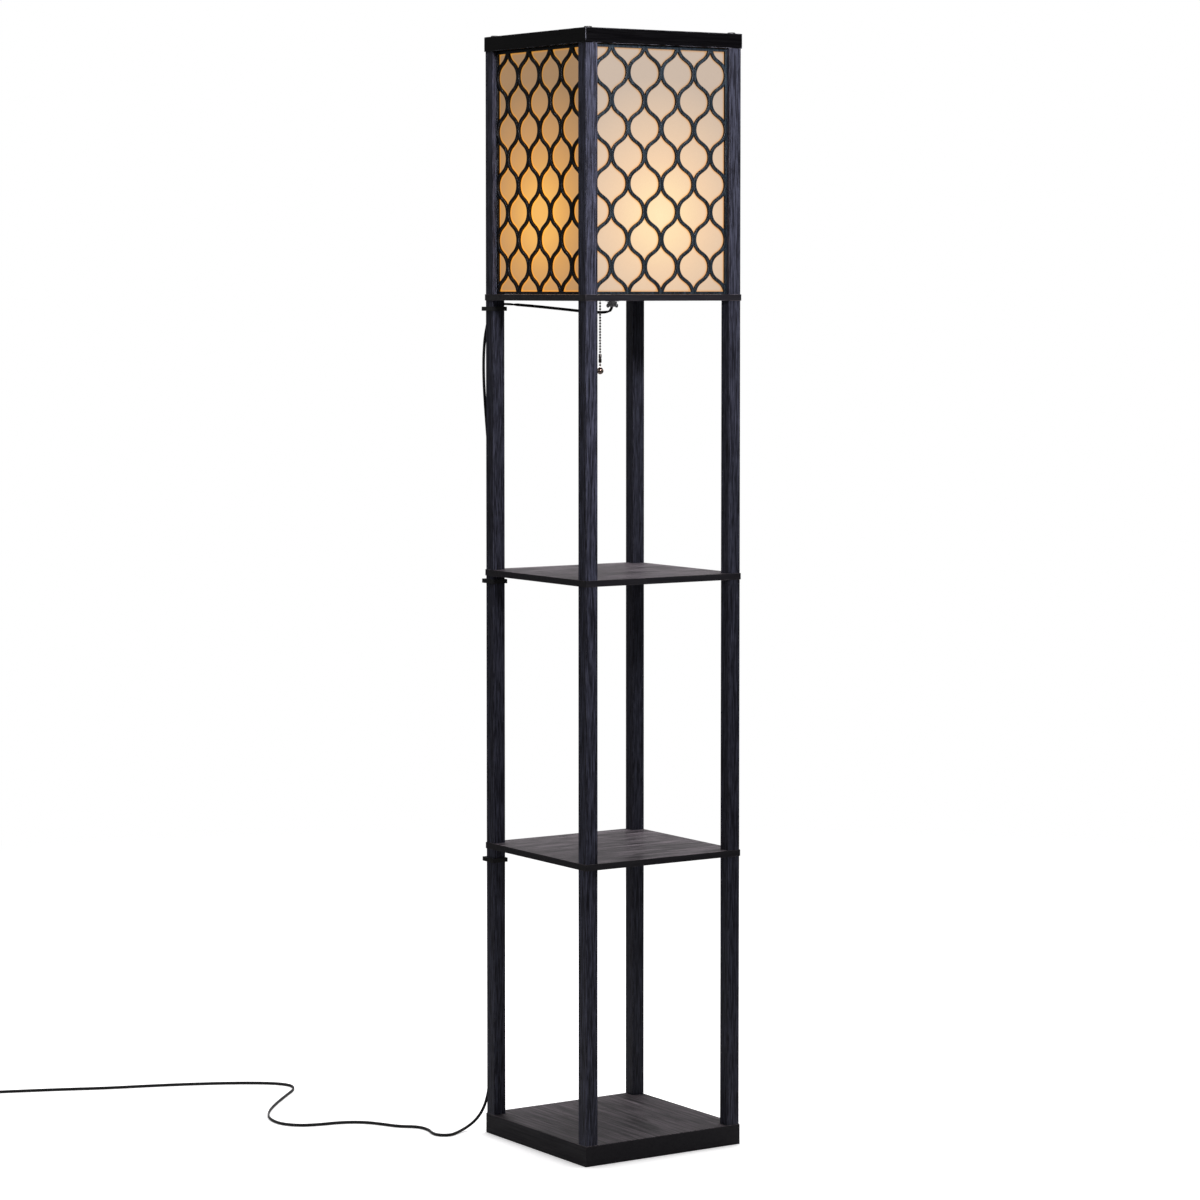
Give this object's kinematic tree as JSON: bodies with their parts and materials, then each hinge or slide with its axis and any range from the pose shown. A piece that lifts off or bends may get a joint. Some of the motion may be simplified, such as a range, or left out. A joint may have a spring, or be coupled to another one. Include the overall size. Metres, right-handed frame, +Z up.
{
  "type": "shelf floor lamp",
  "caption": "Square shelf floor lamp: four posts carry open shelves and, on top, a square lattice shade over a bulb with a pull chain.",
  "frame": {"origin": "middle of the footprint at the underside of the base board", "axes": "+Z up, -Y the front, which the picture shows on the right; -X the left side"},
  "size_m": [0.845, 1.0001, 1.602],
  "materials": {
    "frame_stain": "near-black stained wood, satin",
    "shelf_wood": "dark brown-grey wood grain foil, satin",
    "lattice_black": "black stained fretwork, satin",
    "diffuser_film": "cream translucent film",
    "zinc_steel": "zinc plated",
    "black_steel": "black satin",
    "socket_phenolic": "black phenolic",
    "thread_brass": "satin",
    "cap_aluminium": "satin",
    "chain_nickel": "nickel plated",
    "bulb_glass": "frosted, lit",
    "clip_black": "black moulded",
    "cord_vinyl": "black vinyl"
  },
  "bodies": {
    "frame": {"base_board": "shelf_wood", "base_bolts": "zinc_steel", "chain_ferrule": "thread_brass", "cord_clip_lower": "clip_black", "cord_clip_middle": "clip_black", "cord_clip_upper": "clip_black", "cord_coil": "cord_vinyl", "cord_down_post": "cord_vinyl", "cord_on_floor": "cord_vinyl", "cord_under_shade": "cord_vinyl", "diffuser_back": "diffuser_film", "diffuser_front": "diffuser_film", "diffuser_left": "diffuser_film", "diffuser_right": "diffuser_film", "lattice_back": "lattice_black", "lattice_front": "lattice_black", "lattice_left": "lattice_black", "lattice_right": "lattice_black", "lower_shelf": "shelf_wood", "middle_shelf": "shelf_wood", "nut_washer": "zinc_steel", "plug_blades": "thread_brass", "plug_body": "cord_vinyl", "post_back_left_lower": "frame_stain", "post_back_left_middle": "frame_stain", "post_back_left_shade": "frame_stain", "post_back_left_upper": "frame_stain", "post_back_right_lower": "frame_stain", "post_back_right_middle": "frame_stain", "post_back_right_shade": "frame_stain", "post_back_right_upper": "frame_stain", "post_front_left_lower": "frame_stain", "post_front_left_middle": "frame_stain", "post_front_left_shade": "frame_stain", "post_front_left_upper": "frame_stain", "post_front_right_lower": "frame_stain", "post_front_right_middle": "frame_stain", "post_front_right_shade": "frame_stain", "post_front_right_upper": "frame_stain", "shade_floor": "shelf_wood", "shelf_studs": "zinc_steel", "socket_body": "socket_phenolic", "socket_contact": "thread_brass", "socket_nipple": "zinc_steel", "socket_sleeve": "thread_brass", "top_bolts": "black_steel", "top_rail_back": "frame_stain", "top_rail_front": "frame_stain", "top_rail_left": "frame_stain", "top_rail_right": "frame_stain"},
    "bulb": {"bulb_base": "cap_aluminium", "bulb_glass": "bulb_glass"},
    "wing_nut": {"wing_nut": "zinc_steel"},
    "chain_slide": {"pull_chain": "chain_nickel"},
    "chain_swing": {"hanging_chain": "chain_nickel"},
    "chain_pendant": {"chain_connector": "chain_nickel", "chain_ball": "chain_nickel"}
  },
  "joints": [
    {"name": "bulb_turn", "type": "hinge", "parent": "frame", "child": "bulb", "pos_m": [0, 0, 1.27], "axis": [0, 0, 1], "continuous": true},
    {"name": "wing_nut_turn", "type": "hinge", "parent": "frame", "child": "wing_nut", "pos_m": [0, 0, 1.215], "axis": [0, 0, 1], "continuous": true},
    {"name": "chain_pull", "type": "slide", "parent": "frame", "child": "chain_slide", "axis": [0, 0, -1], "range_m": [0, 0.008], "stiffness_N_per_m": 400, "springref_m": -0.006},
    {"name": "chain_swing", "type": "hinge", "parent": "chain_slide", "child": "chain_swing", "pos_m": [-0.021, 0, 1.214], "axis": [0, 1, 0], "range_deg": [-25, 25]},
    {"name": "pendant_swing", "type": "hinge", "parent": "chain_swing", "child": "chain_pendant", "pos_m": [-0.021, 0, 1.1437], "axis": [1, 0, 0], "range_deg": [-40, 40]}
  ]
}
